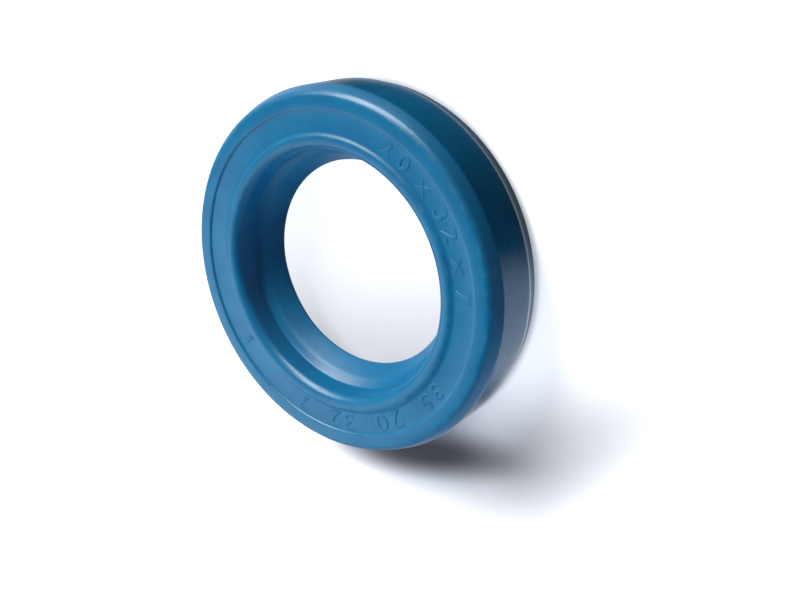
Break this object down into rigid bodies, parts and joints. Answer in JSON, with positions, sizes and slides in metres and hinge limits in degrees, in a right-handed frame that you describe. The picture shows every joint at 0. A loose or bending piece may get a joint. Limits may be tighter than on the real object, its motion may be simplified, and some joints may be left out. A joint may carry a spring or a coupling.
{
  "type": "crankshaft seal",
  "caption": "Rotary shaft seal: moulded rubber ring with a sealing lip, stiffened by a pressed steel ring and loaded by a coil spring.",
  "frame": {"origin": "centre of the rear (oil side) face, on the shaft's axis, which is also the middle of the surface that the seal lies on", "axes": "+Z along the shaft's axis, from the rear face to the marked front (air side) face; X and Y lie in the rear face"},
  "size_m": [0.0322, 0.0322, 0.007],
  "materials": {
    "rubber": "satin moulded rubber",
    "case_steel": "dull phosphated pressed steel",
    "spring_steel": "bright drawn wire"
  },
  "bodies": {
    "root": {"seal_body": "rubber", "case_ring": "case_steel", "garter_spring": "spring_steel"}
  },
  "joints": []
}
